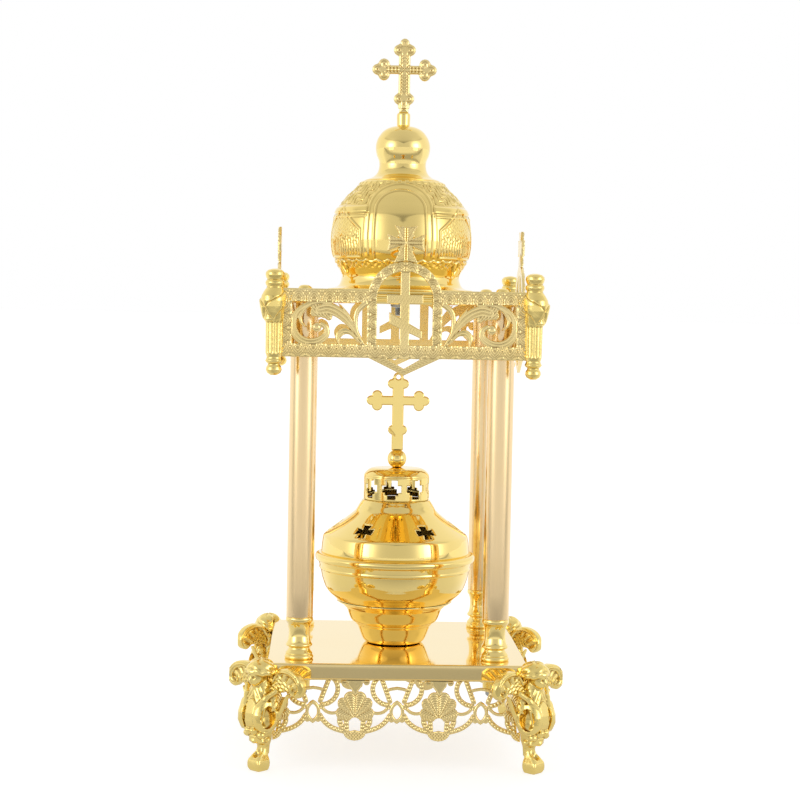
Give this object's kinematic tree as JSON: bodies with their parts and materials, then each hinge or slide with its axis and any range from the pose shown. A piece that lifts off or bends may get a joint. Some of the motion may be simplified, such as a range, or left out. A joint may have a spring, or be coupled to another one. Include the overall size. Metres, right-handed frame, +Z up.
{
  "type": "incense burner shrine",
  "caption": "Domed shrine on winged feet with a lidded, footed censer standing under its dome; the censer slides out and its lid lifts off.",
  "frame": {"origin": "on the ground under the middle of the base plate", "axes": "+Z up, -Y is the front that the censer slides out of, +X to the right seen from the front"},
  "size_m": [0.16, 0.16, 0.3496],
  "materials": {
    "polished_brass": "mirror polished",
    "satin_brass": "satin",
    "stamped_brass": "matt, finely tooled",
    "cast_brass": "glossy cast",
    "zinc_steel": "zinc plated",
    "pan_steel": "dull, heat stained"
  },
  "bodies": {
    "shrine": {"base_plate": "polished_brass", "roof_plate": "polished_brass", "dome_skirt": "polished_brass", "dome_shell": "polished_brass", "dome_lantern": "polished_brass", "cross_ferrule": "polished_brass", "column_base_front_right": "polished_brass", "column_tube_front_right": "satin_brass", "tie_bolt_front_right": "polished_brass", "tie_nut_front_right": "zinc_steel", "foot_front_right": "cast_brass", "corner_console_front_right": "cast_brass", "column_base_back_right": "polished_brass", "column_tube_back_right": "satin_brass", "tie_bolt_back_right": "polished_brass", "tie_nut_back_right": "zinc_steel", "foot_back_right": "cast_brass", "corner_console_back_right": "cast_brass", "column_base_back_left": "polished_brass", "column_tube_back_left": "satin_brass", "tie_bolt_back_left": "polished_brass", "tie_nut_back_left": "zinc_steel", "foot_back_left": "cast_brass", "corner_console_back_left": "cast_brass", "column_base_front_left": "polished_brass", "column_tube_front_left": "satin_brass", "tie_bolt_front_left": "polished_brass", "tie_nut_front_left": "zinc_steel", "foot_front_left": "cast_brass", "corner_console_front_left": "cast_brass", "apron_front": "stamped_brass", "frieze_panel_front": "stamped_brass", "apron_right": "stamped_brass", "frieze_panel_right": "stamped_brass", "apron_back": "stamped_brass", "frieze_panel_back": "stamped_brass", "apron_left": "stamped_brass", "frieze_panel_left": "stamped_brass", "top_cross": "stamped_brass", "dome_rod": "zinc_steel", "dome_washer": "zinc_steel", "dome_nut": "zinc_steel"},
    "censer": {"censer_foot": "polished_brass", "censer_bowl": "polished_brass", "bowl_screw": "zinc_steel", "bowl_nut": "zinc_steel"},
    "pan": {"charcoal_pan": "pan_steel"},
    "lid": {"lid_shell": "polished_brass", "lid_crown": "polished_brass", "lid_cap": "polished_brass", "lid_ball": "polished_brass", "lid_stud": "zinc_steel", "lid_nut": "zinc_steel", "lid_cross": "polished_brass"}
  },
  "joints": [
    {"name": "censer_slide", "type": "slide", "parent": "shrine", "child": "censer", "axis": [0, -1, 0], "range_m": [0, 0.11]},
    {"name": "lid_lift", "type": "slide", "parent": "censer", "child": "lid", "axis": [0, 0, 1], "range_m": [0, 0.027]},
    {"name": "pan_lift", "type": "slide", "parent": "censer", "child": "pan", "axis": [0, 0, 1], "range_m": [0, 0.022]}
  ]
}
